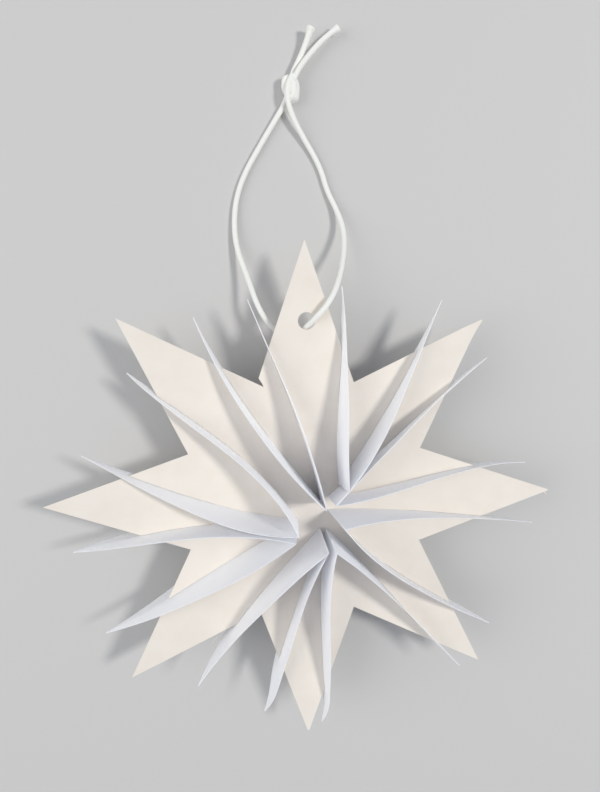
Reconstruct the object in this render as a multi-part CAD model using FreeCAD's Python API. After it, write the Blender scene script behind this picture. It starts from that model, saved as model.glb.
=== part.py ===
import FreeCAD, Part

import math
import os
from collections import namedtuple

from FreeCAD import Vector

# Two-sided paper star that hangs from a thin cord. Millimetres, +Z up.
# The star lies on a table: the origin is at the table, under the centre of the card, and point A
# of the card, which holds the cord, looks along +Y. Eight long strips of paper, each folded once
# into a narrow V, are pushed into slits of the card from its eight inner corners. Each V stands
# out above the card and as far below it, so the star rests on the lower ends of the eight folds.

# Card: a flat eight-pointed star
CARD = 0.38  # thickness
INNER_RADIUS = 44.4  # centre to the corners between two points
POINT_REACH = {"A": 90.0, "B": 88.8, "C": 90.2, "D": 91.2, "E": 88.4, "F": 89.0, "G": 90.3, "H": 90.2}
POINT_SNIP = {"B": 0.6, "C": 0.6, "E": 0.9}  # how much of a tip is cut off blunt
HOLE_DIAMETER = 6.0  # punched in point A
HOLE_TO_CENTRE = 62.5
HOLE_OFFSET = 0.5  # the punch missed the middle of the point by this much, to the right
OVERCUT_LENGTH = 2.6  # a knife cut that ran on past the corner between H and A
OVERCUT_TEAR = 2.0  # and the edge of point A that tore off beside it

# Folded rays
PAPER = 0.25  # thickness
FOLD_DROP = 18.2  # from the middle of the card down to the lower ends of the folds
SLOT_REACH = 30.0  # the rays are slotted this far out from their folds, to take the card
SLIT_GAP = 0.1  # play between a ray and the slit of the card, on each side
BACK_LEAN = 0.4  # below the card the rays stand straighter: this share of their lean above it
TIP_BLUNT = 0.01  # share of a ray's length that is missing at its needle tip
SLIT_DEEP = 2.0  # the cutters of the slits reach this far out of the card, above and below

# Hanging cord
CORD = 1.9  # diameter
KNOT_LENGTH = 9.0
KNOT_WIDTH = 6.2

# Each blade of a ray runs from its tip to the fold. A tip is given by its bearing, in degrees
# clockwise from point A, and its reach from the centre. Looking from the tip to the fold, a blade
# bows out to its left by bow in the middle, and wave more in the outer half and less in the inner.
# The leans are sideways slopes, in mm per mm of height. swell fills the middle of the blade out.
# Near the tip, lift raises it and hook curls it to the left.
Blade = namedtuple("Blade", "bearing reach bow wave tip_lean lean swell lift hook", defaults=(0, 0, 0, 0, 0, 0, 0))

# fold: where the fold passes the card, fold_lean: its slope, crest: its height above the card
Ray = namedtuple("Ray", "fold fold_lean crest first second")

RAYS = {
    "ray_top_left": Ray(
        (5.0, -1.3), (-0.03, 0.11), 18.7,
        Blade(329.3, 75.2, bow=-2.7, wave=-0.8, tip_lean=-0.1, lean=-0.15, swell=-0.1),
        Blade(344.2, 73.3, bow=2.0, wave=-1.2, swell=-0.15),
    ),
    "ray_top_right": Ray(
        (11.5, 4.8), (0.03, 0.12), 18.6,
        Blade(9.6, 76.0, wave=2.0, lean=0.15, swell=-0.1, lift=0.8),
        Blade(34.8, 85.4, bow=2.1, tip_lean=-0.35, lean=0.05, swell=-0.15),
    ),
    "ray_right_upper": Ray(
        (7.7, 0.6), (0.01, 0.08), 17.3,
        Blade(52.9, 82.1, wave=-1.0, tip_lean=-0.1, lean=-0.15, swell=-0.1, lift=1.0),
        Blade(82.8, 82.3, bow=-1.3, wave=-3.0, tip_lean=-0.1, lean=-0.05, swell=-0.2, lift=-0.6),
    ),
    "ray_right_lower": Ray(
        (7.4, -4.2), (0.20, -0.10), 17.9,
        Blade(98.0, 85.1, bow=-1.2, wave=0.7, tip_lean=-0.2, lean=-0.05, swell=-0.1, lift=1.2),
        Blade(126.4, 86.4, bow=4.1, wave=-2.0, tip_lean=-0.1, lean=-0.1, swell=0.6, lift=-1.4),
    ),
    "ray_bottom_right": Ray(
        (6.7, -11.1), (0.06, -0.12), 19.2,
        Blade(139.1, 87.4, wave=1.4, tip_lean=-0.35, lean=-0.1, swell=0.15, lift=1.5),
        Blade(175.3, 85.6, bow=1.8, wave=-0.7, tip_lean=-0.45, lean=-0.15, swell=0.2, hook=2.3),
    ),
    "ray_bottom_left": Ray(
        (4.6, -11.0), (0.04, -0.15), 18.1,
        Blade(190.3, 81.0, bow=0.9, wave=2.4, tip_lean=-0.8, lean=-0.05, swell=0.1, lift=0.8, hook=2.2),
        Blade(210.4, 79.3, bow=2.6, wave=1.0, tip_lean=-0.25, lean=-0.15, swell=0.1),
    ),
    "ray_left_lower": Ray(
        (-3.7, -8.8), (-0.10, -0.09), 17.5,
        Blade(236.9, 86.5, wave=-1.1, tip_lean=-0.55, lean=-0.45, swell=-0.2, lift=-2.2),
        Blade(258.6, 83.7, bow=3.5, wave=-0.7, tip_lean=-0.45, lean=-0.1, swell=0.2, lift=-0.7),
    ),
    "ray_left_upper": Ray(
        (-3.3, -7.6), (-0.07, -0.01), 18.6,
        Blade(282.6, 80.1, bow=-3.0, wave=0.9, tip_lean=-0.25, lean=-0.35, swell=-0.45, lift=-1.8),
        Blade(306.5, 76.9, bow=3.4, wave=-2.2, tip_lean=-0.45, lean=-0.05, swell=-0.15, lift=-2.5),
    ),
}

# Where along a blade its cross-sections lie, from the tip (0) towards the fold (1)
STATIONS = (TIP_BLUNT, 0.04, 0.08, 0.13, 0.2, 0.35, 0.5, 0.65, 0.8, 0.92)
LIFT_SPAN = 0.35  # share of a blade, from its tip, over which lift dies out
HOOK_SPAN = 0.13  # and over which hook does

# Route of the loop: from the knot along its left side, up through the hole from below the card,
# over the right edge of point A and back to the knot
LOOP_ROUTE = [
    (-4.2, 142.8, 2.0), (-5.4, 139.8, 1.7), (-8.5, 135.0, 1.3), (-13.2, 127.4, 1.1), (-20.0, 116.0, 1.1),
    (-23.4, 106.1, 1.1), (-24.0, 95.5, 1.6), (-22.7, 87.6, 3.0), (-19.3, 78.1, 6.5), (-16.3, 68.4, 10.8),
    (-12.1, 60.9, 13.0), (-6.8, 57.9, 13.9), (-1.6, 58.5, 15.2), (1.3, 61.1, 18.0), (4.0, 64.0, 20.8),
    (7.4, 67.8, 21.4), (10.9, 73.5, 18.6), (13.8, 81.5, 12.8), (15.7, 90.0, 7.6), (15.7, 97.5, 3.9),
    (13.4, 104.2, 1.9), (10.2, 110.7, 1.1), (8.4, 117.0, 1.2), (5.8, 122.5, 1.2), (1.9, 128.5, 1.8),
    (-1.6, 134.0, 3.3), (-3.8, 139.4, 4.1), (-4.4, 142.2, 4.7),
]
LEFT_TAIL_ROUTE = [(-2.9, 147.4, 2.2), (-2.4, 150.4, 2.4), (0.2, 155.3, 2.5), (2.7, 160.8, 3.2), (4.5, 165.7, 4.2)]
RIGHT_TAIL_ROUTE = [
    (-2.2, 147.0, 4.4), (-0.9, 150.2, 4.5), (1.9, 154.4, 3.9), (6.5, 160.0, 3.2), (10.3, 163.6, 3.0),
    (14.3, 166.3, 3.2),
]
KNOT_CENTRE = (-3.0, 145.0)
ARC_SHARE = 0.45  # share of the shorter run beside a point that its arc takes up

POINTS = "ABCDEFGH"
CARD_MIDDLE = FOLD_DROP
CARD_BOTTOM = CARD_MIDDLE - CARD / 2
SLIT_TALL = CARD / 2 + SLIT_DEEP


def polar(radius, bearing, height=0.0):
    """The point at a radius from the centre and a bearing in degrees, clockwise from point A."""
    angle = math.radians(bearing)
    return Vector(radius * math.sin(angle), radius * math.cos(angle), height)


def unit(vector):
    """The vector at length 1."""
    return vector * (1.0 / vector.Length)


def leftward(vector):
    """The level unit vector to the left of a direction."""
    return unit(Vector(-vector.y, vector.x, 0))


def prism(corners, bottom, height):
    """An upright solid on a closed outline of plan points."""
    outline = [Vector(corner.x, corner.y, bottom) for corner in corners]
    face = Part.Face(Part.makePolygon(outline + outline[:1]))
    return face.extrude(Vector(0, 0, height))


def card_outline():
    """The corners of the card, clockwise from the inner corner between H and A."""
    pitch = 360.0 / len(POINTS)
    corners = []
    for number, name in enumerate(POINTS):
        left = polar(INNER_RADIUS, (number - 0.5) * pitch)
        tip = polar(POINT_REACH[name], number * pitch)
        right = polar(INNER_RADIUS, (number + 0.5) * pitch)
        corners.append(left)
        snip = POINT_SNIP.get(name, 0)
        if snip:
            axis = unit(tip)
            for corner in (left, right):
                flank = corner - tip
                corners.append(tip + flank * (snip / -flank.dot(axis)))
        else:
            corners.append(tip)
    return corners


def torn_corner():
    """The sliver that is missing where the knife ran past the corner between H and A."""
    corner = polar(INNER_RADIUS, -180.0 / len(POINTS))
    along_h = unit(corner - polar(POINT_REACH["H"], -360.0 / len(POINTS)))
    along_a = unit(polar(POINT_REACH["A"], 0) - corner)
    deep = corner + along_h * OVERCUT_LENGTH
    torn = corner + along_a * OVERCUT_TEAR
    ragged = (deep + torn) * 0.5 + along_h * (OVERCUT_TEAR / 8)
    outside = corner - unit(corner) * -OVERCUT_TEAR
    return [outside, corner, deep, ragged, torn]


def blade_place(ray, blade, share):
    """Where a blade passes the card's level at a share of its length, with its lean and direction."""
    tip = polar(blade.reach, blade.bearing)
    fold = Vector(ray.fold[0], ray.fold[1], 0)
    run = fold - tip
    side = leftward(run)
    curve = 4 * share * (1 - share)
    offset = curve * (blade.bow + blade.wave * (1 - 2 * share))
    slope = 4 * (1 - 2 * share) * (blade.bow + blade.wave * (1 - 2 * share)) - 2 * curve * blade.wave
    curl = max(0.0, 1 - share / HOOK_SPAN)
    offset += blade.hook * curl ** 2
    slope -= 2 * blade.hook * curl / HOOK_SPAN
    place = tip + run * share + side * offset
    place.z = CARD_MIDDLE + blade.lift * max(0.0, 1 - share / LIFT_SPAN) ** 2
    fold_lean = Vector(ray.fold_lean[0], ray.fold_lean[1], 0)
    lean = side * ((1 - share) * (1 - 2 * share) * blade.tip_lean + curve * blade.lean)
    lean = lean + fold_lean * (share * (2 * share - 1))
    return place, lean, unit(run + side * slope)


def cross_section(place, lean, rise, drop, outer, inner):
    """Six corners around a blade where it passes the card: up its outer face, down its inner one."""
    top = place + lean * rise + Vector(0, 0, rise)
    bottom = place - lean * (BACK_LEAN * drop) - Vector(0, 0, drop)
    return [bottom + outer, place + outer, top + outer, top + inner, place + inner, bottom + inner]


def blade_sections(ray, blade):
    """The cross-sections of one blade from its tip to just before the fold."""
    outer_side = 1 if blade is ray.second else -1
    sections = []
    for share in STATIONS:
        place, lean, direction = blade_place(ray, blade, share)
        outer = leftward(direction) * (outer_side * PAPER / 2)
        fill = share + blade.swell * share * (1 - share)
        sections.append(cross_section(place, lean, ray.crest * fill, FOLD_DROP * fill, outer, outer * -1))
    return sections


def slit_sections(ray, blade):
    """The cross-sections of the room that a blade takes in the card."""
    sections = []
    for share in STATIONS:
        place, lean, direction = blade_place(ray, blade, share)
        half = leftward(direction) * (PAPER / 2 + SLIT_GAP)
        sections.append(cross_section(place, lean, SLIT_TALL, SLIT_TALL, half, half * -1))
    return sections


def fold_section(ray):
    """The cross-section through the crease, which both blades of a ray share."""
    place, lean, first = blade_place(ray, ray.first, 1.0)
    second = blade_place(ray, ray.second, 1.0)[2]
    outward = unit(first + second)
    half_angle = first.getAngle(second) / 2
    inner = outward * -(PAPER / 2 / math.sin(half_angle))
    return cross_section(place, lean, ray.crest, FOLD_DROP, outward * (PAPER * 0.75), inner)


def skin(sections):
    """The long faces through matching corners of a row of cross-sections."""
    rails = []
    for corners in zip(*sections):
        curve = Part.BSplineCurve()
        curve.interpolate(list(corners))
        rails.append(curve.toShape())
    return [Part.makeRuledSurface(rail, following) for rail, following in zip(rails, rails[1:] + rails[:1])]


def cap(section):
    """The two flat faces that close an end, below and above the card's middle."""
    lower = [section[0], section[1], section[4], section[5]]
    upper = section[1:5]
    return [Part.Face(Part.makePolygon(corners + corners[:1])) for corners in (lower, upper)]


def closed(faces):
    """The solid inside a set of faces that meet all round."""
    shell = Part.makeShell(faces)
    shell.sewShape()
    solid = Part.makeSolid(shell)
    if solid.Volume < 0:
        solid.reverse()
    return solid


def folded_ray(ray):
    """One folded paper ray: two tapering blades that meet at the fold, slotted for the card."""
    crease = fold_section(ray)
    faces = []
    for blade in (ray.first, ray.second):
        sections = blade_sections(ray, blade)
        faces += cap(sections[0]) + skin(sections + [crease])
    slot = Part.makeCylinder(SLOT_REACH, CARD, Vector(ray.fold[0], ray.fold[1], CARD_BOTTOM))
    return closed(faces).cut(slot)


def card_slits():
    """The cuts in the card that let the unslotted outer parts of the blades through."""
    slits = []
    for ray in RAYS.values():
        foot = Vector(ray.fold[0], ray.fold[1], CARD_MIDDLE - 2 * SLIT_TALL)
        held = Part.makeCylinder(SLOT_REACH - SLIT_GAP, 4 * SLIT_TALL, foot)
        for blade in (ray.first, ray.second):
            sections = slit_sections(ray, blade)
            faces = cap(sections[0]) + skin(sections) + cap(sections[-1])
            slits.append(closed(faces).cut(held))
    return slits


def base_card():
    """The flat star of card with its hole, its torn corner and its slits."""
    card = prism(card_outline(), CARD_BOTTOM, CARD)
    hole = Part.makeCylinder(HOLE_DIAMETER / 2, CARD, Vector(HOLE_OFFSET, HOLE_TO_CENTRE, CARD_BOTTOM))
    card = card.cut(hole)
    card = card.cut(prism(torn_corner(), CARD_BOTTOM, CARD))
    return card.cut(card_slits())


def cord_tube(name, route):
    """A round tube along straight runs that tangent arcs join."""
    points = [Vector(*point) for point in route]
    edges = []
    radii = []
    start = points[0]
    for before, corner, after in zip(points, points[1:], points[2:]):
        back = unit(before - corner)
        ahead = unit(after - corner)
        turn = math.pi - back.getAngle(ahead)
        reach = ARC_SHARE * min((before - corner).Length, (after - corner).Length)
        radius = reach / math.tan(turn / 2)
        radii.append(radius)
        arc_start = corner + back * reach
        arc_end = corner + ahead * reach
        inside = unit(back + ahead)
        middle = corner + inside * (radius / math.cos(turn / 2) - radius)
        edges.append(Part.LineSegment(start, arc_start).toShape())
        edges.append(Part.Arc(arc_start, middle, arc_end).toShape())
        start = arc_end
    edges.append(Part.LineSegment(start, points[-1]).toShape())
    path = Part.Wire(edges)
    ring = Part.Wire(Part.Circle(points[0], points[1] - points[0], CORD / 2).toShape())
    tube = path.makePipeShell([ring], True, False)
    section = math.pi * CORD ** 2 / 4
    print(name, "length %.1f" % path.Length, "volume over section times length %.4f"
          % (tube.Volume / (section * path.Length)), "radii", [round(radius, 1) for radius in radii])
    return tube


def cord_knot(strands):
    """The overhand knot: a rounded spindle that the strands of the cord run into."""
    centre = Vector(KNOT_CENTRE[0], KNOT_CENTRE[1], KNOT_WIDTH / 2)
    stretch = FreeCAD.Matrix()
    stretch.scale(1, KNOT_LENGTH / KNOT_WIDTH, 1)
    body = Part.makeSphere(KNOT_WIDTH / 2).transformGeometry(stretch)
    body.translate(centre)
    return body.cut(strands)


def main():
    os.makedirs("parts", exist_ok=True)
    nodes = {"base_star": base_card()}
    for name, ray in RAYS.items():
        nodes[name] = folded_ray(ray)
    nodes["cord_loop"] = cord_tube("cord_loop", LOOP_ROUTE)
    nodes["cord_tail_left"] = cord_tube("cord_tail_left", LEFT_TAIL_ROUTE)
    nodes["cord_tail_right"] = cord_tube("cord_tail_right", RIGHT_TAIL_ROUTE)
    nodes["cord_knot"] = cord_knot([nodes["cord_loop"], nodes["cord_tail_left"], nodes["cord_tail_right"]])
    for name, shape in nodes.items():
        solids = shape.Solids
        print(name, "solids", len(solids), "valid", shape.isValid(), "volume %.2f" % shape.Volume)
        if len(solids) == 1:
            shape = solids[0]
        shape.exportStep("parts/%s.step" % name)


main()
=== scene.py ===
import logging
import math
from dataclasses import dataclass
from enum import Enum
from typing import Optional, Tuple

import bmesh
import bpy
from mathutils import Matrix, Vector, noise


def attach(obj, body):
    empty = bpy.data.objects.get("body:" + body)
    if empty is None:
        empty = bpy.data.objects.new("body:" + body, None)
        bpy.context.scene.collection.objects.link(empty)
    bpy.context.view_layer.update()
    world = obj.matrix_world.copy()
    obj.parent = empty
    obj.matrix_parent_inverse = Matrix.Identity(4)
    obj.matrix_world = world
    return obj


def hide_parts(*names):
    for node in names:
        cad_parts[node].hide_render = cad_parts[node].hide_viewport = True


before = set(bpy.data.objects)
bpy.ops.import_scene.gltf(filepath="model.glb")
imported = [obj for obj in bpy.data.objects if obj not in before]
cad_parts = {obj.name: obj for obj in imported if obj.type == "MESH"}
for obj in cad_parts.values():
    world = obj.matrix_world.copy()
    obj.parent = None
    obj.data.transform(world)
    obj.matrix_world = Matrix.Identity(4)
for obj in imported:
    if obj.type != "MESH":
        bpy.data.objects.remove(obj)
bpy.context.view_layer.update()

Colour = Tuple[float, float, float, float]
Point = Tuple[float, float, float]

MM = 0.001
BODY = "root"
CARD_LEVEL = 18.2 * MM
NOISE_SEED = 11  # the vector noise of the strips starts from the clock unless it is seeded
WAVE_RATE = 10.0  # half of what a wave texture multiplies its scale by
log = logging.getLogger("paper_star")


class Slot(Enum):
    """The record's material slots."""

    CARD = "card"
    PAPER = "paper"
    CORD = "cord"


def srgb(red: int, green: int, blue: int) -> Colour:
    """A colour written as it looks on screen, as Blender wants it.

    Args:
        red: Red, 0 to 255.
        green: Green, 0 to 255.
        blue: Blue, 0 to 255.

    Returns:
        The linear colour with an alpha of 1.
    """
    linear = []
    for value in (red, green, blue):
        share = value / 255.0
        linear.append(share / 12.92 if share <= 0.04045 else ((share + 0.055) / 1.055) ** 2.4)
    return (linear[0], linear[1], linear[2], 1.0)


class NodeSheet:
    """A material's node tree, filled one node at a time."""

    def __init__(self, name: str) -> None:
        """Start an empty material.

        Args:
            name: The material's name.
        """
        self.material = bpy.data.materials.new(name)
        self.material.use_nodes = True
        self.tree = self.material.node_tree
        self.tree.nodes.clear()
        self.output = self.add("ShaderNodeOutputMaterial")

    def add(self, kind: str, **settings: object) -> bpy.types.Node:
        """Add a node.

        Args:
            kind: Blender's name for the node type.
            settings: Properties of the node to set.

        Returns:
            The new node.
        """
        node = self.tree.nodes.new(kind)
        for key, value in settings.items():
            setattr(node, key, value)
        return node

    def link(self, source: bpy.types.NodeSocket, target: bpy.types.NodeSocket) -> None:
        """Join two sockets."""
        self.tree.links.new(source, target)

    def noise(self, place: bpy.types.NodeSocket, grain: float, detail: float) -> bpy.types.NodeSocket:
        """A noise whose patches are about one grain wide.

        Args:
            place: The coordinates it reads.
            grain: Size of a patch, in metres.
            detail: Levels of finer noise.

        Returns:
            The noise value, about 0.5 on average.
        """
        node = self.add("ShaderNodeTexNoise")
        node.inputs["Scale"].default_value = 1.0 / grain
        node.inputs["Detail"].default_value = detail
        self.link(place, node.inputs["Vector"])
        return node.outputs["Fac"]

    def ramp(self, value: bpy.types.NodeSocket, low: Colour, high: Colour,
             start: float, end: float) -> bpy.types.NodeSocket:
        """A colour that runs from one to another as a value rises.

        Args:
            value: The value that is read.
            low: The colour up to the start.
            high: The colour from the end on.
            start: Where the change starts.
            end: Where the change ends.

        Returns:
            The colour.
        """
        node = self.add("ShaderNodeValToRGB")
        node.color_ramp.elements[0].position = start
        node.color_ramp.elements[0].color = low
        node.color_ramp.elements[1].position = end
        node.color_ramp.elements[1].color = high
        self.link(value, node.inputs["Fac"])
        return node.outputs["Color"]

    def bump(self, height: bpy.types.NodeSocket, strength: float, distance: float,
             under: Optional[bpy.types.NodeSocket] = None) -> bpy.types.NodeSocket:
        """A relief on the surface.

        Args:
            height: The height that is read.
            strength: How strongly the relief shows.
            distance: Height of the relief, in metres.
            under: A coarser relief that this one lies on.

        Returns:
            The bumped normal.
        """
        node = self.add("ShaderNodeBump")
        node.inputs["Strength"].default_value = strength
        node.inputs["Distance"].default_value = distance
        self.link(height, node.inputs["Height"])
        if under is not None:
            self.link(under, node.inputs["Normal"])
        return node.outputs["Normal"]


@dataclass(frozen=True)
class PaperFinish:
    """Matt paper or card: a pale colour with faint clouds, fine pulp fibres and a soft tooth.

    cloud, tooth and fibre are the widths of the patches. The fibres are drawn out along Y by stretch.
    glow is the share of light that passes through the sheet, and glow_reach how far it spreads.
    """

    name: str
    light: Colour
    dark: Colour
    cloud: float = 9.0 * MM
    cloud_edges: Tuple[float, float] = (0.3, 0.62)
    tooth: float = 0.35 * MM
    tooth_depth: float = 0.6
    fibre: float = 1.6 * MM
    fibre_depth: float = 0.5
    stretch: float = 0.35
    relief: float = 0.02 * MM
    roughness: float = 0.82
    gloss: float = 0.3
    glow: float = 0.0
    glow_reach: float = 0.6 * MM

    def make(self) -> bpy.types.Material:
        """Build the material.

        Returns:
            The new material.
        """
        sheet = NodeSheet(self.name)
        place = sheet.add("ShaderNodeTexCoord").outputs["Object"]
        clouds = sheet.noise(place, self.cloud, 4.0)
        colour = sheet.ramp(clouds, self.dark, self.light, *self.cloud_edges)
        shader = sheet.add("ShaderNodeBsdfPrincipled")
        sheet.link(colour, shader.inputs["Base Color"])
        shader.inputs["Roughness"].default_value = self.roughness
        shader.inputs["Specular IOR Level"].default_value = self.gloss
        shader.inputs["Subsurface Weight"].default_value = self.glow
        shader.inputs["Subsurface Radius"].default_value = (1.0, 1.0, 1.0)
        shader.inputs["Subsurface Scale"].default_value = self.glow_reach
        drawn_out = sheet.add("ShaderNodeMapping")
        drawn_out.inputs["Scale"].default_value = (1.0, self.stretch, 1.0)
        sheet.link(place, drawn_out.inputs["Vector"])
        pulp = sheet.noise(drawn_out.outputs["Vector"], self.fibre, 3.0)
        fibres = sheet.bump(pulp, self.fibre_depth, self.relief * 2)
        tooth = sheet.bump(sheet.noise(place, self.tooth, 2.0), self.tooth_depth, self.relief, fibres)
        sheet.link(tooth, shader.inputs["Normal"])
        sheet.link(shader.outputs["BSDF"], sheet.output.inputs["Surface"])
        return sheet.material


@dataclass(frozen=True)
class CordFinish:
    """Smooth white cord: a soft sheen over the fine crossing strands of its braid, and painted shade in the
    grooves between them.
    """

    name: str
    light: Colour
    dark: Colour
    strand_pitch: float = 0.55 * MM
    strand_angle: float = math.radians(38)
    # between these braid values the colour runs from painted shade in the grooves to the light colour on the
    # strands
    groove_shade_edges: Tuple[float, float] = (0.2, 0.7)
    strand_depth: float = 0.5
    relief: float = 0.06 * MM
    fuzz: float = 0.12 * MM
    fuzz_depth: float = 0.3
    roughness: float = 0.6
    sheen: float = 0.25
    sheen_roughness: float = 0.4

    def make(self) -> bpy.types.Material:
        """Build the material.

        Returns:
            The new material.
        """
        sheet = NodeSheet(self.name)
        place = sheet.add("ShaderNodeTexCoord").outputs["Object"]
        braid = sheet.add("ShaderNodeMath", operation="MAXIMUM")
        for socket, side in ((0, 1), (1, -1)):
            turn = sheet.add("ShaderNodeMapping")
            turn.inputs["Rotation"].default_value = (0.0, 0.0, side * self.strand_angle)
            sheet.link(place, turn.inputs["Vector"])
            wave = sheet.add("ShaderNodeTexWave", wave_type="BANDS", bands_direction="Y")
            wave.inputs["Scale"].default_value = math.pi / (WAVE_RATE * self.strand_pitch)
            sheet.link(turn.outputs["Vector"], wave.inputs["Vector"])
            sheet.link(wave.outputs["Fac"], braid.inputs[socket])
        # painted shade: the grooves between the strands get the dark colour, and the strands the light one
        colour = sheet.ramp(braid.outputs["Value"], self.dark, self.light, *self.groove_shade_edges)
        shader = sheet.add("ShaderNodeBsdfPrincipled")
        sheet.link(colour, shader.inputs["Base Color"])
        shader.inputs["Roughness"].default_value = self.roughness
        shader.inputs["Sheen Weight"].default_value = self.sheen
        shader.inputs["Sheen Roughness"].default_value = self.sheen_roughness
        fuzz = sheet.bump(sheet.noise(place, self.fuzz, 2.0), self.fuzz_depth, self.relief)
        strands = sheet.bump(braid.outputs["Value"], self.strand_depth, self.relief, fuzz)
        sheet.link(strands, shader.inputs["Normal"])
        sheet.link(shader.outputs["BSDF"], sheet.output.inputs["Surface"])
        return sheet.material


@dataclass(frozen=True)
class FloorFinish:
    """Plain pale studio floor."""

    name: str = "studio_floor"
    colour: Colour = srgb(204, 203, 200)
    roughness: float = 0.9

    def make(self) -> bpy.types.Material:
        """Build the material.

        Returns:
            The new material.
        """
        sheet = NodeSheet(self.name)
        shader = sheet.add("ShaderNodeBsdfPrincipled")
        shader.inputs["Base Color"].default_value = self.colour
        shader.inputs["Roughness"].default_value = self.roughness
        sheet.link(shader.outputs["BSDF"], sheet.output.inputs["Surface"])
        return sheet.material


CREAM_CARD = PaperFinish("cream_card", light=srgb(236, 229, 218), dark=srgb(233, 225, 213))
WHITE_PAPER = PaperFinish("white_paper", light=srgb(244, 245, 250), dark=srgb(241, 242, 247),
                          cloud=14.0 * MM, tooth=0.25 * MM, relief=0.012 * MM, glow=1.0)
# the cord's dark colour is painted shade in the grooves of its braid
WHITE_CORD = CordFinish("white_cord", light=srgb(247, 247, 240), dark=srgb(232, 232, 224))


@dataclass
class Studio:
    """The camera, the lamps, the sky and the floor."""

    camera_place: Point = (-0.0206, 0.0556, 0.2160)
    camera_target: Point = (-0.0020, 0.0365, 0.0182)
    camera_roll: float = -0.55
    lens: float = 26.0
    sensor: float = 36.0
    seen_range: Tuple[float, float] = (0.005, 20.0)
    key_place: Point = (0.62, 0.16, 0.88)
    key_size: float = 0.2
    key_power: float = 5.6
    fill_place: Point = (-0.75, 0.1, 0.55)
    fill_size: float = 0.9
    fill_power: float = 4.2
    lamp_colour: Tuple[float, float, float] = (1.0, 0.985, 0.96)
    sky: float = 0.45
    sky_colour: Colour = (0.83, 0.88, 1.0, 1.0)
    backdrop: Colour = srgb(206, 206, 204)
    floor_size: float = 1.8

    def shoot_from(self) -> None:
        """Place the camera where the photograph was taken."""
        data = bpy.data.cameras.new("camera")
        data.sensor_width = self.sensor
        data.lens = self.lens
        data.clip_start, data.clip_end = self.seen_range
        camera = bpy.data.objects.new("camera", data)
        bpy.context.scene.collection.objects.link(camera)
        place = Vector(self.camera_place)
        ahead = (Vector(self.camera_target) - place).normalized()
        right = ahead.cross(Vector((0.0, 1.0, 0.0))).normalized()
        aim = Matrix((right, right.cross(ahead), -ahead)).transposed().to_4x4()
        roll = Matrix.Rotation(math.radians(self.camera_roll), 4, "Z")
        camera.matrix_world = Matrix.Translation(place) @ aim @ roll
        bpy.context.scene.camera = camera

    def hang(self, name: str, place: Point, size: float, power: float) -> None:
        """Hang a round soft lamp that looks at the middle of the star.

        Args:
            name: The lamp's name.
            place: Where it hangs.
            size: Its diameter.
            power: Its power in watts.
        """
        data = bpy.data.lights.new(name, "AREA")
        data.shape = "DISK"
        data.size = size
        data.energy = power
        data.color = self.lamp_colour
        lamp = bpy.data.objects.new(name, data)
        bpy.context.scene.collection.objects.link(lamp)
        lamp.location = place
        lamp.rotation_mode = "QUATERNION"
        lamp.rotation_quaternion = (-Vector(place)).to_track_quat("-Z", "Y")

    def light(self) -> None:
        """Hang a lamp to the right, a broad weak one to the left, and an even sky with a pale backdrop."""
        self.hang("key_lamp", self.key_place, self.key_size, self.key_power)
        self.hang("fill_lamp", self.fill_place, self.fill_size, self.fill_power)
        world = bpy.data.worlds.new("studio_sky")
        world.use_nodes = True
        nodes = world.node_tree.nodes
        links = world.node_tree.links
        glow = nodes["Background"]
        glow.inputs["Color"].default_value = self.sky_colour
        glow.inputs["Strength"].default_value = self.sky
        seen = nodes.new("ShaderNodeBackground")
        seen.inputs["Color"].default_value = self.backdrop
        choice = nodes.new("ShaderNodeMixShader")
        links.new(nodes.new("ShaderNodeLightPath").outputs["Is Camera Ray"], choice.inputs["Fac"])
        links.new(glow.outputs["Background"], choice.inputs[1])
        links.new(seen.outputs["Background"], choice.inputs[2])
        links.new(choice.outputs["Shader"], nodes["World Output"].inputs["Surface"])
        bpy.context.scene.world = world

    def lay_floor(self) -> None:
        """Lay the plain floor that the star rests on."""
        bpy.ops.mesh.primitive_plane_add(size=self.floor_size, location=(0.0, 0.0, 0.0))
        floor = bpy.context.object
        floor.name = "studio_floor"
        floor.data.materials.append(FloorFinish().make())


def place_piece(piece: bpy.types.Object, node: Optional[str] = None) -> bpy.types.Object:
    """Enter a finished piece in the frame.

    Args:
        piece: The new piece.
        node: The CAD node it takes the place of, if any.

    Returns:
        The piece.
    """
    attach(piece, BODY)
    if node is not None:
        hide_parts(node)
    log.info("%s: %d faces, in place of %s", piece.name, len(getattr(piece.data, "polygons", ())), node)
    return piece


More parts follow.
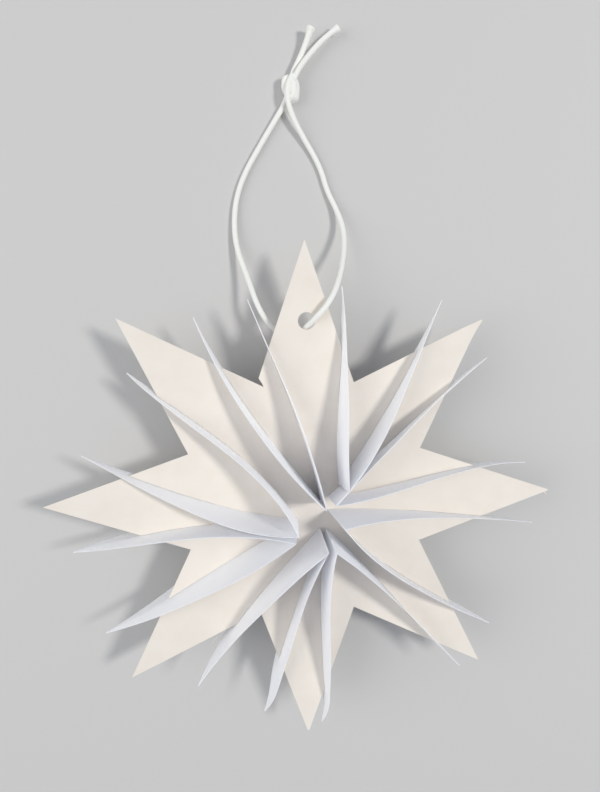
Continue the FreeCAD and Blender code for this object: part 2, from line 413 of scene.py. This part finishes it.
@dataclass
class Sheet:
    """A piece of real paper, made from the even solid of its node and never quite even itself.

    pitch is the width of the slices, and edges shorter than sliver are dissolved.
    """

    node: str
    name: str
    pitch: float = 2.0 * MM
    on_plane: float = 0.0002 * MM
    doubled: float = 0.001 * MM
    sliver: float = 0.02 * MM
    crease_angle: float = math.radians(35)

    def settled(self, place: Vector) -> Vector:
        """Where a point of the even sheet comes to lie on the real one."""
        return place

    def slice_finely(self, sheet: bmesh.types.BMesh) -> None:
        """Cut the faces of a sheet along X and along Y, finely enough for it to bend.

        Args:
            sheet: The sheet's mesh.
        """
        for axis in (0, 1):
            across = Vector((axis == 0, axis == 1, 0))
            reach = [vert.co[axis] for vert in sheet.verts]
            cuts = int((max(reach) - min(reach)) / self.pitch)
            for cut in range(1, cuts + 1):
                everything = sheet.verts[:] + sheet.edges[:] + sheet.faces[:]
                bmesh.ops.bisect_plane(sheet, geom=everything, dist=self.on_plane,
                                       plane_co=across * (min(reach) + cut * self.pitch), plane_no=across)

    def build(self, material: bpy.types.Material, slot: Slot) -> bpy.types.Object:
        """Make the piece from a merged copy of the node, sliced and settled.

        Args:
            material: The paper's material.
            slot: Not used.

        Returns:
            The new piece.
        """
        sheet = bmesh.new()
        sheet.from_mesh(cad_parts[self.node].data)
        bmesh.ops.remove_doubles(sheet, verts=sheet.verts, dist=self.doubled)
        self.slice_finely(sheet)
        bmesh.ops.dissolve_degenerate(sheet, dist=self.sliver, edges=sheet.edges)
        for vert in sheet.verts:
            vert.co = self.settled(vert.co)
        sheet.normal_update()
        for face in sheet.faces:
            face.smooth = True
        for edge in sheet.edges:
            edge.smooth = edge.calc_face_angle(0.0) < self.crease_angle
        mesh = bpy.data.meshes.new(self.name)
        sheet.to_mesh(mesh)
        sheet.free()
        mesh.materials.append(material)
        piece = bpy.data.objects.new(self.name, mesh)
        bpy.context.scene.collection.objects.link(piece)
        return place_piece(piece, self.node)


@dataclass
class CardStar(Sheet):
    """The flat star of card: it has warped a little, and one point is bent up at its tip.

    The warp grows from none at the centre to its full height at full_warp. Past bend_start, towards
    bent_point, the card rises by bend times the square of the distance.
    """

    warp: float = 0.25 * MM
    warp_length: float = 38.0 * MM
    full_warp: float = 70.0 * MM
    bent_point: Tuple[float, float] = (math.sqrt(0.5), math.sqrt(0.5))
    bend_start: float = 79.5 * MM
    bend: float = 26.0

    def settled(self, place: Vector) -> Vector:
        """Where a point of the even card comes to lie on the warped one.

        Args:
            place: The point on the even card.

        Returns:
            The point on the warped card.
        """
        level = Vector((place.x, place.y, 0))
        out = min(1.0, level.length / self.full_warp)
        rise = noise.noise(level / self.warp_length) * self.warp * out
        past = max(0.0, place.x * self.bent_point[0] + place.y * self.bent_point[1] - self.bend_start)
        return place + Vector((0, 0, rise + self.bend * past ** 2))


@dataclass
class FoldedRay(Sheet):
    """One folded strip of paper: its blades sway a little, and its cut edges are not quite straight.

    Both die out within the height held, above and below the card.
    """

    sway: float = 0.3 * MM
    sway_length: float = 26.0 * MM
    ragged: float = 0.1 * MM
    ragged_length: float = 5.0 * MM
    held: float = 9.0 * MM

    def settled(self, place: Vector) -> Vector:
        """Where a point of the even strip comes to lie on the swaying one.

        Args:
            place: The point on the even strip.

        Returns:
            The point on the real strip, which the card holds and the table carries.
        """
        free = min(1.0, abs(place.z - CARD_LEVEL) / self.held)
        drift = noise.noise_vector(place / self.sway_length) * (self.sway * free)
        edge = noise.noise(place / self.ragged_length) * self.ragged * free
        moved = place + Vector((drift.x, drift.y, edge))
        moved.z = max(moved.z, 0.0)
        return moved


@dataclass
class PaperStar:
    """The card and the eight folded rays that are pushed through it."""

    card: str = "base_star"
    rays: Tuple[str, ...] = (
        "ray_top_left", "ray_top_right", "ray_right_upper", "ray_right_lower",
        "ray_bottom_right", "ray_bottom_left", "ray_left_lower", "ray_left_upper",
    )

    def build(self) -> None:
        """Make the card and the rays."""
        CardStar(self.card, "card_star").build(CREAM_CARD.make(), Slot.CARD)
        paper = WHITE_PAPER.make()
        for ray in self.rays:
            FoldedRay(ray, ray.replace("ray", "folded")).build(paper, Slot.PAPER)


def strand(name: str, route: Tuple[Point, ...], diameter: float,
           swell: Tuple[float, ...] = ()) -> bpy.types.Object:
    """A round strand along one smooth line.

    Args:
        name: The piece's name.
        route: The line's control points, in millimetres.
        diameter: The strand's diameter, in metres.
        swell: Its thickness at the last points, as shares of the diameter.

    Returns:
        The curve object.
    """
    curve = bpy.data.curves.new(name, "CURVE")
    curve.dimensions = "3D"
    curve.resolution_u = 12
    curve.bevel_depth = diameter / 2
    curve.bevel_resolution = 6
    curve.use_fill_caps = True
    line = curve.splines.new("NURBS")
    line.points.add(len(route) - 1)
    shares = (1.0,) * (len(route) - len(swell)) + swell
    for point, (x, y, z), share in zip(line.points, route, shares):
        point.co = (x * MM, y * MM, z * MM, 1.0)
        point.radius = share
    line.order_u = 3
    line.use_endpoint_u = True
    piece = bpy.data.objects.new(name, curve)
    bpy.context.scene.collection.objects.link(piece)
    return piece


@dataclass
class LooseFibres:
    """A hair of paper at one ray, and the torn nib under the right-hand point, routed in millimetres."""

    hair: Tuple[Point, ...] = (
        (-31.6, -50.2, 15.9), (-33.2, -50.9, 16.6), (-34.6, -52.4, 16.4), (-35.1, -54.3, 15.6),
    )
    hair_width: float = 0.16 * MM
    hair_taper: Tuple[float, ...] = (1.0, 1.0, 0.8, 0.5)
    nib: Tuple[Point, ...] = ((88.2, -0.6, 18.1), (88.9, -1.1, 18.1), (89.3, -2.2, 17.8))
    nib_width: float = 0.5 * MM
    nib_taper: Tuple[float, ...] = (1.0, 0.8, 0.4)

    def build(self) -> None:
        """Make the hair and the nib."""
        hair = strand("paper_hair", self.hair, self.hair_width, self.hair_taper)
        hair.data.materials.append(bpy.data.materials[WHITE_PAPER.name])
        place_piece(hair)
        nib = strand("torn_nib", self.nib, self.nib_width, self.nib_taper)
        nib.data.materials.append(bpy.data.materials[CREAM_CARD.name])
        place_piece(nib)


@dataclass
class HangingCord:
    """The limp cord: a loop through the punched hole, its knot and its two cut tails.

    Routes are in millimetres, those of the knot from knot_place. A lobe of the knot is its centre, its
    three radii and its turn in degrees, and fills the middle of the turns round it.
    """

    diameter: float = 1.9 * MM
    length: float = 0.2015
    loop_route: Tuple[Point, ...] = (
        (-4.2, 142.8, 2.0), (-5.4, 139.8, 1.7), (-8.5, 135.0, 1.3), (-13.2, 127.4, 1.1), (-20.0, 116.0, 1.1),
        (-23.4, 106.1, 1.1), (-24.0, 95.5, 1.6), (-22.7, 87.6, 3.0), (-19.3, 78.1, 6.5), (-16.3, 68.4, 10.8),
        (-12.1, 60.9, 13.0), (-6.8, 57.9, 13.9), (-1.6, 58.5, 15.2), (1.3, 61.1, 18.0), (4.0, 64.0, 20.8),
        (7.4, 67.8, 21.4), (10.9, 73.5, 18.6), (13.8, 81.5, 12.8), (15.7, 90.0, 7.6), (15.7, 97.5, 3.9),
        (13.4, 104.2, 1.9), (10.2, 110.7, 1.1), (8.4, 117.0, 1.2), (5.8, 122.5, 1.2), (1.9, 128.5, 1.8),
        (-1.6, 134.0, 3.3), (-3.8, 139.4, 4.1), (-4.4, 142.2, 4.7),
    )
    left_tail_route: Tuple[Point, ...] = (
        (-2.9, 147.4, 2.2), (-2.4, 150.4, 2.4), (0.2, 155.3, 2.5), (2.7, 160.8, 3.2), (3.9, 164.1, 3.9),
        (4.3, 165.2, 4.1), (4.5, 165.7, 4.2),
    )
    right_tail_route: Tuple[Point, ...] = (
        (-2.2, 147.0, 4.4), (-0.9, 150.2, 4.5), (1.9, 154.4, 3.9), (6.5, 160.0, 3.2), (10.3, 163.6, 3.0),
        (12.9, 165.4, 3.1), (13.9, 166.0, 3.2), (14.3, 166.3, 3.2),
    )
    left_frayed: Tuple[float, ...] = (1.2, 1.8, 1.6)
    right_frayed: Tuple[float, ...] = (1.15, 1.6, 1.4)
    knot_place: Point = (-3.0, 145.0, 0.0)
    knot_wraps: Tuple[Tuple[Point, ...], ...] = (
        ((-0.2, 3.0, 2.6), (0.9, 3.6, 3.2), (2.2, 2.3, 3.8), (2.4, -0.8, 3.9), (1.9, -3.0, 3.3),
         (0.6, -4.0, 2.4), (-0.6, -3.0, 1.3), (-1.2, -0.6, 1.1), (-0.4, 2.0, 1.4)),
        ((-0.1, 2.4, 4.2), (0.7, 2.6, 4.8), (1.3, 0.6, 5.1), (1.1, -1.8, 4.8), (0.3, -3.6, 3.8),
         (-0.6, -3.2, 2.2), (0.4, -1.4, 1.1), (1.5, 0.6, 1.2), (1.0, 2.6, 2.2)),
        ((-0.9, -1.2, 2.4), (-2.0, -0.4, 3.0), (-2.4, 1.7, 3.5), (-1.9, 3.8, 3.6), (-0.5, 4.1, 3.0)),
        ((-0.9, -1.4, 1.4), (-2.0, 0.2, 1.2), (-2.3, 2.0, 1.6), (-1.6, 3.6, 1.9), (-0.2, 3.4, 2.2)),
        ((-0.8, -5.4, 4.1), (-1.35, -2.9, 4.7), (-1.2, -0.3, 5.1), (-0.5, 2.2, 4.9), (0.8, 4.6, 4.4)),
        ((-1.2, -2.4, 2.0), (-0.9, 0.0, 3.0), (-0.2, 3.0, 2.8), (0.3, 4.4, 2.4)),
    )
    knot_lobes: Tuple[Tuple[Point, Point, float], ...] = (
        ((1.1, -0.6, 3.0), (2.0, 3.8, 2.6), 13.0),
        ((-1.9, 1.9, 2.7), (1.25, 2.5, 1.7), -15.0),
    )
    knot_grain: float = 0.13 * MM
    knot_settling: int = 7

    def knot(self) -> bpy.types.Object:
        """Tie the overhand knot: strands wound round each other and drawn tight into one body.

        Returns:
            The knot.
        """
        tied = bmesh.new()
        x0, y0, z0 = self.knot_place
        for wrap in self.knot_wraps:
            route = tuple((x0 + x, y0 + y, z0 + z) for x, y, z in wrap)
            turn = strand("wrap", route, self.diameter)
            graph = bpy.context.evaluated_depsgraph_get()
            tube = bpy.data.meshes.new_from_object(turn.evaluated_get(graph))
            tied.from_mesh(tube)
            bpy.data.objects.remove(turn)
        for (x, y, z), radii, turned in self.knot_lobes:
            lobe = Matrix.Translation(Vector((x0 + x, y0 + y, z0 + z)) * MM)
            lobe = lobe @ Matrix.Rotation(math.radians(turned), 4, "Z")
            lobe = lobe @ Matrix.Diagonal((*(Vector(radii) * MM), 1.0))
            bmesh.ops.create_icosphere(tied, subdivisions=4, radius=1.0, matrix=lobe)
        mesh = bpy.data.meshes.new("overhand_knot")
        tied.to_mesh(mesh)
        tied.free()
        draft = bpy.data.objects.new("knot_draft", mesh)
        bpy.context.scene.collection.objects.link(draft)
        merge = draft.modifiers.new("merge", "REMESH")
        merge.mode = "VOXEL"
        merge.voxel_size = self.knot_grain
        settle = draft.modifiers.new("settle", "SMOOTH")
        settle.factor = 0.5
        settle.iterations = self.knot_settling
        graph = bpy.context.evaluated_depsgraph_get()
        drawn = bpy.data.meshes.new_from_object(draft.evaluated_get(graph))
        bpy.data.objects.remove(draft)
        drawn.shade_smooth()
        knot = bpy.data.objects.new("overhand_knot", drawn)
        bpy.context.scene.collection.objects.link(knot)
        return knot

    def build(self) -> None:
        """Lay the loop, tie the knot and leave the two cut tails."""
        finish = WHITE_CORD.make()
        loop = strand("loop_of_cord", self.loop_route, self.diameter)
        left = strand("left_tail", self.left_tail_route, self.diameter, self.left_frayed)
        right = strand("right_tail", self.right_tail_route, self.diameter, self.right_frayed)
        knot = self.knot()
        for piece, node in ((loop, "cord_loop"), (left, "cord_tail_left"), (right, "cord_tail_right"),
                            (knot, "cord_knot")):
            piece.data.materials.clear()
            piece.data.materials.append(finish)
            place_piece(piece, node)


def main() -> None:
    """Build the scene, piece by piece."""
    logging.basicConfig(level=logging.INFO, format="%(name)s: %(message)s")
    noise.seed_set(NOISE_SEED)
    studio = Studio()
    studio.shoot_from()
    HangingCord().build()
    PaperStar().build()
    LooseFibres().build()
    studio.light()
    studio.lay_floor()
    bpy.context.scene.view_settings.view_transform = "Standard"
    bpy.context.view_layer.update()


if __name__ == "__main__":
    main()
